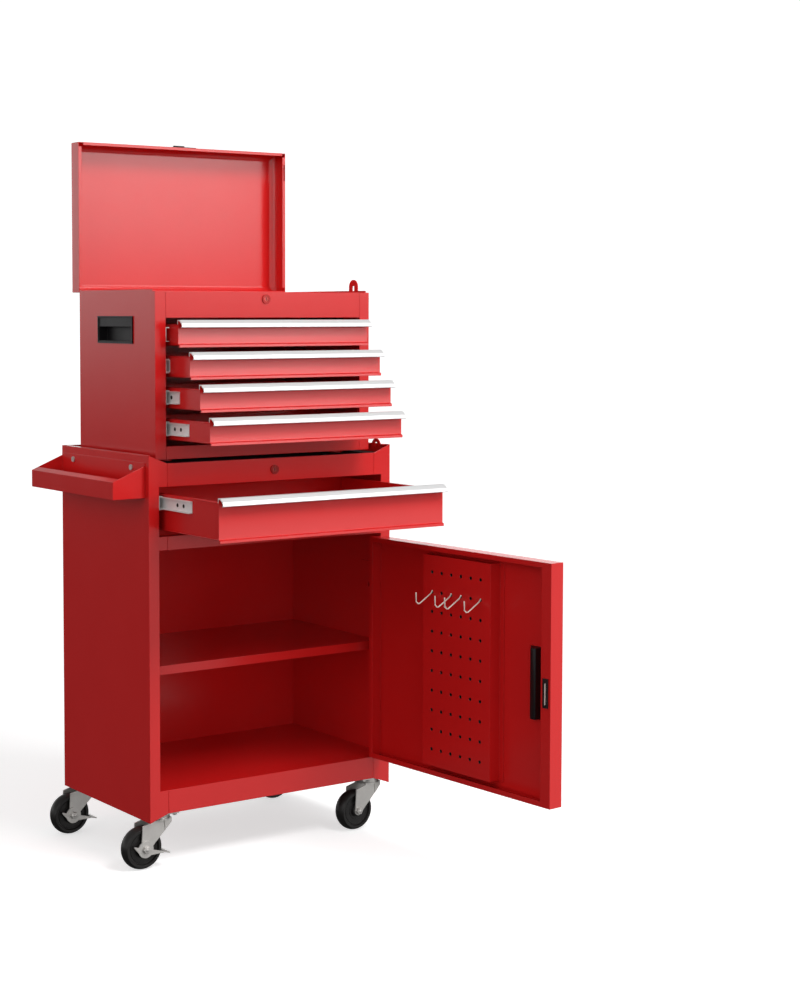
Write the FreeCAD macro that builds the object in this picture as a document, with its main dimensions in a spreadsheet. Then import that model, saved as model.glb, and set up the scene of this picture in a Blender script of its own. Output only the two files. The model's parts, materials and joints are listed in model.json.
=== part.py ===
import FreeCAD, Part
import math
import os
import Sketcher

# Tool chest and cabinet combo, in millimetres.
# X runs right along the front, the front faces -Y and Z is up. The origin is on the floor, under the middle of the
# cabinet. Every moving piece is drawn where the photo shows it.

document = FreeCAD.newDocument("tool_chest")
sheet = document.addObject("Spreadsheet::Sheet", "Sizes")
V = FreeCAD.Vector


class Size:
    """A length with the sheet expression that it comes from."""

    def __init__(self, value, text):
        self.value = value
        self.text = text

    def __add__(self, other):
        return combine(self, "+", other)

    def __radd__(self, other):
        return combine(other, "+", self)

    def __sub__(self, other):
        return combine(self, "-", other)

    def __rsub__(self, other):
        return combine(other, "-", self)

    def __mul__(self, other):
        return combine(self, "*", other)

    def __rmul__(self, other):
        return combine(other, "*", self)

    def __truediv__(self, other):
        return combine(self, "/", other)

    def __neg__(self):
        return combine(-1, "*", self)


def as_size(item):
    return item if isinstance(item, Size) else Size(float(item), "(%g)" % item)


def combine(first, sign, second):
    a, b = as_size(first), as_size(second)
    if sign == "+":
        value = a.value + b.value
    elif sign == "-":
        value = a.value - b.value
    elif sign == "*":
        value = a.value * b.value
    else:
        value = a.value / b.value
    return Size(value, "(%s %s %s)" % (a.text, sign, b.text))


row_of_sheet = [0]


def size(alias, value):
    """Write a driving dimension into the sheet and hand it back."""
    row_of_sheet[0] += 1
    cell = "A%d" % row_of_sheet[0]
    sheet.set(cell, "%g" % value)
    sheet.setAlias(cell, alias)
    return Size(float(value), "Sizes." + alias)


# Cabinet body
cab_w = size("cabinet_width", 520)
cab_d = size("cabinet_depth", 326)
cab_sheet = size("cabinet_sheet", 1.2)
side_low = size("side_panel_low", 85)
side_high = size("side_panel_high", 729)
flange_w = size("front_flange_width", 37)
stile_w = size("stile_width", 20.5)
hem_w = size("rim_hem_width", 8)
pan_low = size("bottom_rail_low", 98)
bay_low = size("bay_low", 139)
bay_high = size("bay_high", 563)
slot_low = size("drawer_opening_low", 587)
slot_high = size("drawer_opening_high", 673.5)
rail_high = size("top_rail_high", 714.5)
pan_return = size("pan_return_depth", 62)
rail_return = size("rail_return_depth", 18)
deck_drop = size("deck_below_rail", 4.5)
mat_thick = size("mat_thickness", 3)
mat_gap = size("mat_edge_gap", 3.4)
shelf_high = size("shelf_high", 353.5)
shelf_lip = size("shelf_front_height", 16)
shelf_gap = size("shelf_side_gap", 0.6)

# Cabinet drawer and its slides
wide_out = size("wide_drawer_out", 190.3)
wide_side_gap = size("gap_beside_wide_drawer", 3.8)
wide_low_gap = size("gap_under_wide_drawer", 7.5)
wide_high_gap = size("gap_over_wide_drawer", 3.8)
wide_slide_room = size("wide_slide_room", 12.5)
wide_back_room = size("room_behind_wide_box", 26)
wide_slide_high = size("wide_slide_height", 24)
wide_slide_drop = size("wide_slide_below_box_top", 16)
wide_setback = size("wide_slide_setback", 99)

# Chest
chest_side_gap = size("chest_side_gap", 29.5)
chest_w = cab_w - chest_side_gap * 2
chest_d = size("chest_depth", 281)
chest_back_step = size("chest_front_setback", 27.4)
chest_sheet = size("chest_sheet", 1)
foot_high = size("pressed_foot_height", 6)
chest_high = size("chest_height", 294.5)
chest_rim = size("side_rim_above_header", 3.5)
rim_setback = size("side_rim_setback", 9.6)
chest_stile = size("chest_stile_width", 21.5)
footer_high = size("footer_height", 22.7)
header_high = size("header_height", 46.5)
narrow_side_gap = size("gap_beside_narrow_drawers", 5.7)
narrow_gap = size("gap_between_narrow_drawers", 7.3)
narrow_top_gap = size("gap_over_top_drawer", 3.6)
narrow_low_gap = size("gap_under_low_drawer", 8.6)
narrow_slide_room = size("narrow_slide_room", 11)
narrow_back_room = size("room_behind_narrow_boxes", 19)
narrow_slide_high = size("narrow_slide_height", 25)
narrow_slide_drop = size("narrow_slide_below_box_top", 17.5)
drawer_sheet = size("drawer_sheet", 1)
out_of = [size("top_drawer_out", 33), size("second_drawer_out", 72),
          size("third_drawer_out", 105.3), size("low_drawer_out", 137.5)]

# Drawer front, handle strip and slide sections
lip_out = size("front_lip_out", 4)
lip_high = size("front_lip_height", 6)
box_above_low = size("box_above_front_low", 3)
box_below_high = size("box_below_front_high", 8)
roll_w = size("box_roll_width", 5)
grip_sheet = size("grip_sheet", 1.5)
grip_top = size("grip_top_reach", 4.5)
grip_reach = size("grip_reach", 15)
grip_drop = size("grip_drop", 13.3)
grip_curl = size("grip_curl", 4)
grip_seat = size("grip_over_front_edge", 2)
roll_out = size("front_top_roll_out", 3.6)
slide_sheet = size("slide_sheet", 1.2)
slide_lip = size("slide_lip", 6.4)
slide_play = size("slide_play", 0.4)
slide_front_gap = size("slide_front_gap", 0.8)
narrow_setback = size("narrow_slide_setback", 76)
slide_hole_r = size("slide_hole_radius", 2.8)
slide_hole_first = size("slide_first_hole", 27.2)
slide_hole_next = size("slide_second_hole", 47.8)
slide_web_gap = size("slide_web_gap", 0.5)
slide_back_gap = size("slide_back_gap", 12)

# Lid
lid_length = size("lid_length", 278.6)
lid_deep = size("lid_rim_height", 40)
lid_bend = size("lid_bend_radius", 15)
lid_lip = size("lid_lip_width", 5.5)
lid_front_drop = size("lid_front_drop", 2.5)
knuckle_r = size("knuckle_radius", 1.9)
hinge_pin_r = size("lid_pin_radius", 1)
pin_play = size("pin_play", 0.05)
hinge_end_gap = size("lid_hinge_end_gap", 2.5)
knuckle_pitch = (chest_w - hinge_end_gap * 2) / 12
hinge_over_rim = size("hinge_over_rim", 0.3)

# Door
door_side_gap = size("door_side_gap", 1.5)
door_low_gap = size("door_low_gap", 2)
door_high_gap = size("door_high_gap", 5.5)
door_deep = size("door_depth", 28)
door_lip = size("door_lip_width", 9)
door_wide_lip = size("door_catch_lip_width", 23)
door_axis_out = size("door_axis_beyond_edge", 1.1)
door_axis_back = size("door_axis_behind_front", 0.1)
door_open = size("door_open_degrees", 93.3)
butt_r = size("door_knuckle_radius", 2)
butt_pin_r = size("door_pin_radius", 1.1)
butt_long = size("door_knuckle_length", 20)
butt_inset = size("door_hinge_inset", 45)
butt_play = size("door_knuckle_play", 0.3)
board_side = size("board_edge_beside_holes", 25)
board_end_gap = size("board_end_gap", 16.5)
board_end = size("board_edge_over_holes", 30.65)
board_deep = size("board_depth", 26)
board_flange = size("board_flange", 10)
hole_r = size("board_hole_radius", 3.2)
hole_pitch = size("board_column_pitch", 25.4)
pull_inset = size("door_pull_inset", 49)
pull_wide = size("door_pull_width", 26)
pull_long = size("door_pull_length", 125)
pull_up = size("door_pull_above_door_low", 141)
pull_deep = size("door_pull_depth", 15)
hook_r = size("hook_wire_radius", 1.5)

# Casters
wheel_r = size("wheel_radius", 38)
wheel_w = size("wheel_width", 24)
swivel_side_inset = size("swivel_inset_from_side", 31)
swivel_end_inset = size("swivel_inset_from_front_and_back", 26)
swivel_x = cab_w / 2 - swivel_side_inset
swivel_y = cab_d / 2 - swivel_end_inset
trail = size("caster_trail", 35)
plate_l = size("caster_plate_length", 58)
plate_w = size("caster_plate_width", 48)
plate_t = size("caster_plate_thickness", 2.5)
race_r = size("raceway_radius", 20)
race_h = size("raceway_height", 7.5)
king_r = size("king_pin_radius", 4)
axle_r = size("axle_radius", 4)
fork_t = size("fork_sheet", 2.5)
boss_r = size("fork_end_radius", 8.5)
front_right_turn = size("front_right_caster_turn", 4)
pedal_tilt = size("pedal_tilt", 15)

# Side tray and locks
tray_out = size("tray_reach", 63.8)
tray_front = size("tray_front_setback", 12)
tray_long = size("tray_length", 312)
tray_low = size("tray_low", 655)
tray_wall = size("tray_wall_height", 30.7)
tray_end_high = size("tray_end_height", 56)
tray_plate_high = size("tray_plate_height", 61)
tray_lip = size("tray_lip_width", 12)
tray_hole_r = size("tray_hole_radius", 8)
screw_r = size("tray_screw_radius", 2.5)
screw_gap = size("tray_screw_gap_under_deck", 0.4)
screw_front = size("tray_screw_from_front_end", 46.5)
screw_rear = size("tray_screw_from_back_end", 47)
rod_wide = size("lock_rod_width", 27)
rod_thick = size("lock_rod_thickness", 2)
rod_play = size("lock_rod_play", 0.2)
barrel_r = size("lock_barrel_radius", 6.5)
barrel_play = size("lock_barrel_play", 0.1)
cab_lock_drop = size("cabinet_lock_below_rail_top", 20.8)
chest_lock_drop = size("chest_lock_below_header_top", 13)
seam_gap = size("front_seam_gap", 0.5)
rim_inset = size("rim_hem_end_gap", 12)
catch_over = size("catch_above_shelf", 8.5)
catch_tall = size("catch_height", 50)
catch_deep = size("catch_depth", 4)
catch_gap = size("catch_gap", 0.4)
pad_deep = size("wall_pad_depth", 3.5)
pad_wide = size("wall_pad_width", 42)
pad_tall = size("wall_pad_height", 72)
pad_up = size("wall_pad_above_shelf", 76.5)
pad_back = size("wall_pad_behind_front", 42)
cup_long = size("side_handle_length", 123)
cup_high = size("side_handle_height", 43)
cup_deep = size("side_handle_depth", 17)
cup_rim = size("side_handle_rim", 3)
cup_up = size("side_handle_above_chest_low", 205)
cup_shift = size("side_handle_behind_middle", 2)
cup_hood = size("side_handle_hood", 16)
cup_proud = size("side_handle_frame_height", 2.4)
bezel_r = size("lock_bezel_radius", 8.5)
plug_r = size("lock_plug_radius", 4.5)

document.recompute()

cab_front = -cab_d / 2
cab_back = cab_d / 2
cab_half = cab_w / 2
cab_in = cab_half - cab_sheet
open_half = cab_half - stile_w
seam_half = cab_half - flange_w
frame_back = cab_front + cab_sheet
deck_top = rail_high - deck_drop
chest_front = cab_front + chest_back_step
chest_rear = chest_front + chest_d
chest_half = chest_w / 2
chest_in = chest_half - chest_sheet
chest_open_half = chest_half - chest_stile
chest_low = deck_top + mat_thick + foot_high
chest_top = chest_low + chest_high
rim_top = chest_top + chest_rim
footer_top = chest_low + footer_high
header_low = chest_top - header_high
lid_axis_y = chest_rear - chest_sheet + knuckle_r
lid_axis_z = rim_top + hinge_over_rim
wide_half = open_half - wide_side_gap
wide_low = slot_low + wide_low_gap
wide_high = slot_high - wide_high_gap
wide_box_half = open_half - wide_slide_room
wide_box_deep = cab_d - wide_back_room
narrow_half = chest_open_half - narrow_side_gap
narrow_box_half = chest_open_half - narrow_slide_room
narrow_box_deep = chest_d - narrow_back_room
narrow_high = (header_low - footer_top - narrow_top_gap - narrow_low_gap - narrow_gap * 3) / 4
narrow_pitch = narrow_high + narrow_gap
door_half = open_half - door_side_gap
door_low = bay_low + door_low_gap
door_high = bay_high - door_high_gap
board_half = hole_pitch * 2.5 + board_side
board_low = door_low + board_end_gap
board_high = door_high - board_end_gap
hole_rise = (board_high - board_low - board_end * 2) / 9
tray_y = (cab_front + tray_front, cab_front + tray_front + tray_long)
door_axis_x = door_half + door_axis_out
door_axis_y = cab_front + door_axis_back

nodes = []
counter = [0]


def fresh(stem):
    counter[0] += 1
    return "%s_%d" % (stem, counter[0])


def bind(item, path, amount):
    item.setExpression(path, as_size(amount).text)


def bind_place(item, x, y, z):
    for letter, amount in zip("xyz", (x, y, z)):
        bind(item, ".Placement.Base." + letter, amount)


def block(x, y, z):
    """A box between two planes along each axis."""
    item = document.addObject("Part::Box", fresh("block"))
    for name, ends in zip(("Length", "Width", "Height"), (x, y, z)):
        bind(item, name, ends[1] - ends[0])
    bind_place(item, x[0], y[0], z[0])
    return item


TURNS = {"x": (V(0, 1, 0), 90), "y": (V(1, 0, 0), -90), "z": (V(0, 0, 1), 0)}


def rod(axis, start, radius, length):
    """A cylinder that runs from start along +axis."""
    item = document.addObject("Part::Cylinder", fresh("rod"))
    item.Placement.Rotation = FreeCAD.Rotation(*TURNS[axis])
    bind(item, "Radius", radius)
    bind(item, "Height", length)
    bind_place(item, *start)
    return item


def join(items):
    item = document.addObject("Part::MultiFuse", fresh("join"))
    item.Shapes = items
    item.Refine = True
    return item


def cut(base, tools):
    item = document.addObject("Part::Cut", fresh("cut"))
    item.Base = base
    item.Tool = tools[0] if len(tools) == 1 else join(tools)
    return item


def group(items):
    item = document.addObject("Part::Compound", fresh("group"))
    item.Links = items
    return item


def plane_of(body, role):
    return [f for f in body.Origin.OriginFeatures if f.Role == role][0]


def sketch_polygon(body, plane, outline, offset):
    """A closed outline whose corners are bound to the sheet."""
    sketch = body.newObject("Sketcher::SketchObject", fresh("outline"))
    sketch.AttachmentSupport = [(plane_of(body, plane), "")]
    sketch.MapMode = "FlatFace"
    corners = [(as_size(a), as_size(b)) for a, b in outline]
    count = len(corners)
    for i in range(count):
        start, end = corners[i], corners[(i + 1) % count]
        sketch.addGeometry(Part.LineSegment(V(start[0].value, start[1].value, 0),
                                            V(end[0].value, end[1].value, 0)), False)
    for i in range(count):
        sketch.addConstraint(Sketcher.Constraint("Coincident", i, 2, (i + 1) % count, 1))
    for i, corner in enumerate(corners):
        for kind, amount in zip(("DistanceX", "DistanceY"), corner):
            index = sketch.addConstraint(Sketcher.Constraint(kind, -1, 1, i, 1, amount.value))
            sketch.setExpression("Constraints[%d]" % index, amount.text)
    bind(sketch, "AttachmentOffset.Base.z", offset)
    return sketch


# What a sketch plane's own normal does to the start of a pad along X, Y or Z
PLANES = {"x": ("YZ_Plane", 1), "y": ("XZ_Plane", -1), "z": ("XY_Plane", 1)}


def prism(axis, outline, start, end):
    """A pad of a closed outline between two planes; along Y the outline is given as x and z."""
    plane, sense = PLANES[axis]
    body = document.addObject("PartDesign::Body", fresh("body"))
    offset = start if sense > 0 else -end
    sketch = sketch_polygon(body, plane, outline, offset)
    pad = body.newObject("PartDesign::Pad", fresh("pad"))
    pad.Profile = sketch
    bind(pad, "Length", end - start)
    body.Tip = pad
    return body


def soften(body, radius, wanted):
    """Round the edges of a body for which wanted says yes."""
    document.recompute()
    base = body.Tip
    names = ["Edge%d" % (i + 1) for i, edge in enumerate(base.Shape.Edges) if wanted(edge)]
    fillet = body.newObject("PartDesign::Fillet", fresh("bend"))
    fillet.Base = (base, names)
    bind(fillet, "Radius", radius)
    body.Tip = fillet
    return body


def runs_along_x_at(points):
    """Pick edges parallel to X that pass near one of the given y, z points."""
    def wanted(edge):
        box = edge.BoundBox
        if box.XLength < 1 or box.YLength > 0.01 or box.ZLength > 0.01:
            return False
        return any(abs(box.YMin - y) < 0.02 and abs(box.ZMin - z) < 0.02 for y, z in points)
    return wanted


def node(name, item):
    item.Label = name
    nodes.append(item)
    return item


def made(name, shape):
    """A piece whose shape is worked out by code from the sheet's sizes."""
    item = document.addObject("Part::Feature", fresh("made"))
    item.Shape = shape
    return node(name, item)


def mirrored(side, low, high):
    """The span from low to high on the right, or its mirror image on the left."""
    return (low, high) if side > 0 else (-high, -low)


def flip(side, outline):
    return [(a * side, b) for a, b in outline]


# Helpers for turned and swept pieces


def rounded_path(points, bends):
    """A wire of straight runs joined by tangent arcs, with one radius for each inner point."""
    edges = []
    last = points[0]
    for i in range(1, len(points) - 1):
        corner = points[i]
        to_last = (points[i - 1] - corner).normalize()
        to_next = (points[i + 1] - corner).normalize()
        half = math.acos(max(-1.0, min(1.0, to_last.dot(to_next)))) / 2
        radius = bends[i - 1]
        reach = radius / math.tan(half)
        start = corner + to_last * reach
        end = corner + to_next * reach
        middle_way = (to_last + to_next).normalize()
        middle = corner + middle_way * (radius / math.sin(half) - radius)
        edges.append(Part.LineSegment(last, start).toShape())
        edges.append(Part.Arc(start, middle, end).toShape())
        last = end
    edges.append(Part.LineSegment(last, points[-1]).toShape())
    return Part.Wire(edges)


def wire_piece(points, radius, bends):
    path = rounded_path(points, bends)
    way = points[1] - points[0]
    ring = Part.Wire([Part.makeCircle(radius, points[0], way)])
    return path.makePipeShell([ring], True, False)


# Cabinet


def cabinet_side(name, side):
    flange = prism("y", flip(side, [
        (cab_half, side_low), (cab_half, side_high), (seam_half, rail_high), (seam_half, slot_high),
        (open_half, slot_high), (open_half, slot_low), (seam_half, slot_low), (seam_half, bay_high),
        (open_half, bay_high), (open_half, bay_low), (seam_half, bay_low), (seam_half, pan_low)]),
        cab_front, frame_back)
    web = block(mirrored(side, cab_in, cab_half), (frame_back, cab_back), (side_low, side_high))
    hem = block(mirrored(side, cab_in - hem_w, cab_in), (cab_front + rim_inset, cab_back - rim_inset),
                (side_high - cab_sheet, side_high))
    back = block(mirrored(side, cab_in - hem_w, cab_in), (cab_back - cab_sheet, cab_back),
                 (side_low, side_high))
    pieces = [flange, web, hem, back]
    if side < 0:
        panel = join(pieces)
        holes = [rod("x", (-cab_half - 1, y, screw_z), screw_r + pin_play * 2, 4) for y in screw_ys]
        node(name, cut(panel, holes))
    else:
        pad = block((cab_in - pad_deep, cab_in), (pad_front, pad_front + pad_wide), (pad_low, pad_low + pad_tall))
        fixed = [knuckle_at(low, butt_r) for low, owner in butt_places() if owner == "cabinet"]
        slot = block((cab_in - hem_w - 1, cab_in), (cab_rod_front - 2, cab_rod_front + rod_wide + 2),
                     (side_high - cab_sheet - 1, side_high + 1))
        window = block((cab_in - pad_deep - 1, cab_in + cab_sheet + 1), (pad_front + 8, pad_front + 20),
                       (pad_low + 23, pad_low + 32))
        room = [knuckle_at(low - butt_play, butt_r + butt_play, butt_long + butt_play * 2)
                for low, owner in butt_places() if owner == "door"]
        bores = [knuckle_at(low - 1, butt_pin_r + pin_play, butt_long + 2)
                 for low, owner in butt_places() if owner == "cabinet"]
        node(name, cut(join(pieces + [pad] + fixed), [slot, window] + room + bores))


def knuckle_at(low, radius, length=None):
    return rod("z", (door_axis_x, door_axis_y, low), radius, butt_long if length is None else length)


def butt_places():
    """Where each knuckle of the door's two hinges starts, and whose it is."""
    found = []
    for start in (door_low + butt_inset, door_high - butt_inset - butt_long * 3):
        found += [(start, "cabinet"), (start + butt_long, "door"), (start + butt_long * 2, "cabinet")]
    return found


catch_high = shelf_high + catch_over
catch_low = catch_high - catch_tall
pad_low = shelf_high + pad_up
pad_front = cab_front + pad_back
screw_z = deck_top - cab_sheet - screw_r - screw_gap
screw_ys = [tray_y[0] + screw_front, tray_y[1] - screw_rear]
cab_rod_front = cab_front + 26
chest_rod_front = chest_front + 32.4

cabinet_side("cabinet_side_left", -1)
cabinet_side("cabinet_side_right", 1)

node("cabinet_back", join([
    block((-cab_in, cab_in), (cab_back - 2 * cab_sheet, cab_back - cab_sheet), (pan_low, side_high)),
    block((-cab_in + hem_w + 1, cab_in - hem_w - 1), (cab_back - 2 * cab_sheet - hem_w, cab_back - 2 * cab_sheet),
          (side_high - cab_sheet, side_high))]))

pan_back = cab_back - 2 * cab_sheet
front_half = seam_half - seam_gap
node("cabinet_floor", join([
    block((-cab_in, cab_in), (frame_back, pan_back), (bay_low - cab_sheet, bay_low)),
    block((-front_half, front_half), (cab_front, frame_back), (pan_low, bay_low)),
    block((-cab_in, cab_in), (frame_back, frame_back + pan_return), (pan_low, pan_low + cab_sheet)),
    block((-cab_in, cab_in), (pan_back - cab_sheet, pan_back), (pan_low, bay_low)),
    block((-cab_in, cab_in), (pan_back - pan_return, pan_back), (pan_low, pan_low + cab_sheet))]))

# The deck and the top front rail are one folded sheet, with a hem that stands over the mat's front edge.
hem_back = cab_front + 6
cab_lock_z = rail_high - cab_lock_drop
top_sheet = join([
    block((-front_half, front_half), (cab_front, frame_back), (slot_high, rail_high)),
    block((-cab_in, cab_in), (frame_back, frame_back + rail_return), (slot_high, slot_high + cab_sheet)),
    block((-seam_half, seam_half), (frame_back, hem_back), (rail_high - cab_sheet, rail_high)),
    block((-seam_half, seam_half), (hem_back - cab_sheet, hem_back), (deck_top - cab_sheet, rail_high)),
    block((-cab_in, cab_in), (frame_back, pan_back), (deck_top - cab_sheet, deck_top))])
node("cabinet_top", cut(top_sheet, [
    rod("y", (0, cab_front - 1, cab_lock_z), barrel_r + barrel_play, cab_sheet + 2),
    block((cab_in - 3.5, cab_in + 1), (cab_rod_front - 2, cab_rod_front + rod_wide + 2),
          (deck_top - cab_sheet - 1, deck_top + 1))]))

node("deck_mat", block((-cab_in + mat_gap, cab_in - mat_gap), (hem_back, pan_back - 1),
                       (deck_top, deck_top + mat_thick)))

node("cabinet_rail_mid", join([
    block((-front_half, front_half), (cab_front, frame_back), (bay_high, slot_low)),
    block((-cab_in, cab_in), (frame_back, frame_back + rail_return), (bay_high, bay_high + cab_sheet)),
    block((-cab_in, cab_in), (frame_back, frame_back + rail_return), (slot_low - cab_sheet, slot_low))]))

shelf_half = cab_in - shelf_gap
shelf_front = cab_front + door_deep + catch_deep + catch_gap
node("cabinet_shelf", join([
    block((-shelf_half, shelf_half), (shelf_front, pan_back), (shelf_high - cab_sheet, shelf_high)),
    block((-shelf_half, shelf_half), (shelf_front, shelf_front + cab_sheet), (shelf_high - shelf_lip, shelf_high)),
    block((-shelf_half, shelf_half), (shelf_front, shelf_front + 12),
          (shelf_high - shelf_lip, shelf_high - shelf_lip + cab_sheet)),
    block((-shelf_half, -shelf_half + cab_sheet), (shelf_front, pan_back), (shelf_high - shelf_lip, shelf_high)),
    block((shelf_half - cab_sheet, shelf_half), (shelf_front, pan_back), (shelf_high - shelf_lip, shelf_high))]))


def slide_outer(side, wall, outer_face, front, length, height_mid, height):
    """A fixed channel with a foot at each end that reaches the side panel."""
    low, high = height_mid - height / 2, height_mid + height / 2
    web_in = outer_face - slide_sheet
    lip_in = web_in - slide_lip
    foot = (web_in, wall)
    lips = (front + slide_front_gap, front + length)
    return join([
        block(mirrored(side, web_in, outer_face), (front, front + length), (low, high)),
        block(mirrored(side, lip_in, web_in), lips, (high - slide_sheet, high)),
        block(mirrored(side, lip_in, web_in), lips, (low, low + slide_sheet)),
        block(mirrored(side, *foot), (front, front + slide_sheet), (low, high)),
        block(mirrored(side, *foot), (front + length - slide_sheet, front + length), (low, high))])


def slide_inner(side, box_half, front, length, height_mid, height):
    """The drawer's own slide member, with two screw holes near its front end."""
    play = slide_sheet + slide_play
    low, high = height_mid - height / 2 + play, height_mid + height / 2 - play
    web_out = box_half + slide_sheet
    lip_out_x = web_out + slide_lip
    member = join([
        block(mirrored(side, box_half, web_out), (front, front + length), (low, high)),
        block(mirrored(side, web_out, lip_out_x), (front, front + length), (high - slide_sheet, high)),
        block(mirrored(side, web_out, lip_out_x), (front, front + length), (low, low + slide_sheet))])
    start = box_half - 1 if side > 0 else -box_half - slide_sheet - 1
    holes = [rod("x", (start, front + back, height_mid), slide_hole_r, slide_sheet + 2)
             for back in (slide_hole_first, slide_hole_next)]
    return cut(member, holes)


wide_mid = wide_high - box_below_high - wide_slide_drop
node("cabinet_slide_channels", group([
    slide_outer(side, cab_in, open_half - slide_web_gap, frame_back, wide_box_deep, wide_mid, wide_slide_high)
    for side in (-1, 1)]))


def lock(prefix, face_y, sheet_thick, z):
    """A cam lock: a barrel with a bezel, and a plug with a key slot and a cam."""
    bezel = rod("y", (0, face_y - 2, z), bezel_r, 2)
    tube = rod("y", (0, face_y - 1, z), barrel_r, 17)
    nut = rod("y", (0, face_y + sheet_thick, z), bezel_r, 3)
    bore = rod("y", (0, face_y - 3, z), plug_r + pin_play, 22)
    node(prefix + "_lock_barrel", cut(join([bezel, tube, nut]), [bore]))
    plug = rod("y", (0, face_y - 1.5, z), plug_r, 18)
    cam = block((-4.5, 17), (face_y + 16.5, face_y + 18.5), (z - 4.5, z + 4.5))
    key = block((-0.7, 0.7), (face_y - 2, face_y + 5), (z - 3, z + 3))
    node(prefix + "_lock_plug", cut(join([plug, cam]), [key]))


lock("cabinet", cab_front, cab_sheet, cab_lock_z)


def lock_rod(name, inner_face, front, low, top, eye_low):
    """A flat bar with a rounded, eyed head that stands above the right rim."""
    outer = inner_face - rod_play
    inner = outer - rod_thick
    radius = rod_wide / 2
    middle = front + radius
    shaft = block((inner, outer), (front, front + rod_wide), (low, top - radius))
    head = rod("x", (inner, middle, top - radius), radius, rod_thick)
    eye = block((inner - 1, outer + 1), (middle - 3.5, middle + 3.5), (eye_low, eye_low + 9))
    node(name, cut(join([shaft, head]), [eye]))


lock_rod("cabinet_lock_rod", cab_in, cab_rod_front, bay_high - 3, side_high + 9, side_high - 7)

# Drawers


def drawer(prefix, front, half, low, high, box_half, deep, slide_high, slide_middle, setback):
    """A box whose sides roll inward at the top, with a front that ends in a folded lip."""
    inside, edge = front + drawer_sheet, high - grip_seat
    nose, shoulder = front - lip_out, low + lip_high
    section = [(front - roll_out, edge), (front - roll_out, edge - drawer_sheet * 3),
               (front - roll_out + drawer_sheet, edge - drawer_sheet * 3),
               (front - roll_out + drawer_sheet, edge - drawer_sheet), (front, edge - drawer_sheet),
               (front, shoulder), (nose, shoulder - 1.5), (nose, low), (inside, low), (inside, low + drawer_sheet),
               (nose + drawer_sheet, low + drawer_sheet), (nose + drawer_sheet, shoulder - 2.3),
               (inside, shoulder - 0.8), (inside, edge)]
    face = prism("x", section, -half, half)
    box_low, box_high = low + box_above_low, high - box_below_high
    start = front + drawer_sheet
    back = front + deep
    parts = [face,
             block((-box_half, box_half), (start, back), (box_low, box_low + drawer_sheet)),
             block((-box_half, box_half), (back - drawer_sheet, back), (box_low, box_high)),
             block((-box_half, box_half), (back - roll_w, back), (box_high - drawer_sheet, box_high))]
    for side in (-1, 1):
        parts.append(block(mirrored(side, box_half - drawer_sheet, box_half), (start, back), (box_low, box_high)))
        parts.append(block(mirrored(side, box_half - roll_w, box_half), (start, back),
                           (box_high - drawer_sheet, box_high)))
    node(prefix + "_box", join(parts))

    # The strip is a bowed extrusion: it clips over the front's top edge and curls back at its own lower edge.
    reach, drop = front - grip_reach, high - grip_drop
    brow = (front - grip_top, high)
    bow = (reach + 2.2, high - 6.2)
    toe = (reach, drop)
    heel = (inside, high - box_below_high + 0.3)
    grip = prism("x", [(inside + grip_sheet, high), brow, bow, toe, (reach + grip_curl, drop),
                       (reach + grip_curl, drop + grip_sheet), (reach + grip_sheet + 0.2, drop + grip_sheet),
                       (reach + 2.2 + grip_sheet, high - 7.2), (front - grip_top + 0.6, edge), (inside, edge), heel,
                       (inside + grip_sheet, heel[1])], -half, half)
    soften(grip, 4, runs_along_x_at([(brow[0].value, brow[1].value), (bow[0].value, bow[1].value)]))
    soften(grip, 1.2, runs_along_x_at([(toe[0].value, toe[1].value)]))
    node(prefix + "_handle", grip)

    length = deep - setback - slide_back_gap
    node(prefix + "_slides", group([
        slide_inner(side, box_half, front + setback, length, slide_middle, slide_high)
        for side in (-1, 1)]))


drawer("wide_drawer", cab_front - wide_out, wide_half, wide_low, wide_high, wide_box_half, wide_box_deep,
       wide_slide_high, wide_mid, wide_setback)

narrow_tops = [header_low - narrow_top_gap - narrow_pitch * i for i in range(4)]
narrow_mids = [top - box_below_high - narrow_slide_drop for top in narrow_tops]
for i in range(4):
    drawer("drawer_%d" % (i + 1), chest_front - out_of[i], narrow_half, narrow_tops[i] - narrow_high,
           narrow_tops[i], narrow_box_half, narrow_box_deep, narrow_slide_high, narrow_mids[i],
           narrow_setback)

# Chest

chest_frame_back = chest_front + chest_sheet
chest_pan_back = chest_rear - chest_sheet


def chest_side(name, side):
    flange = block(mirrored(side, chest_open_half, chest_in), (chest_front, chest_frame_back),
                   (chest_low, chest_top))
    web = block(mirrored(side, chest_in, chest_half), (chest_front, chest_rear), (chest_low, chest_top))
    rim = block(mirrored(side, chest_in, chest_half), (chest_front + rim_setback, chest_rear),
                (chest_top, rim_top))
    hem = block(mirrored(side, chest_in - 6, chest_in), (chest_front + rim_setback + 8, chest_rear - 10),
                (rim_top - chest_sheet, rim_top))
    panel = join([flange, web, rim, hem])
    gap = block(mirrored(side, chest_half - chest_sheet - 1, chest_half + 1), (cup_front, cup_front + cup_long),
                (cup_low, cup_low + cup_high))
    tools = [gap]
    if side > 0:
        tools.append(block((chest_in - 7, chest_in), (chest_rod_front - 2, chest_rod_front + rod_wide + 2),
                           (rim_top - chest_sheet - 1, rim_top + 1)))
    node(name, cut(panel, tools))


cup_front = (chest_front + chest_rear) / 2 - cup_long / 2 + cup_shift
cup_low = chest_low + cup_up

chest_side("chest_side_left", -1)
chest_side("chest_side_right", 1)


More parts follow.
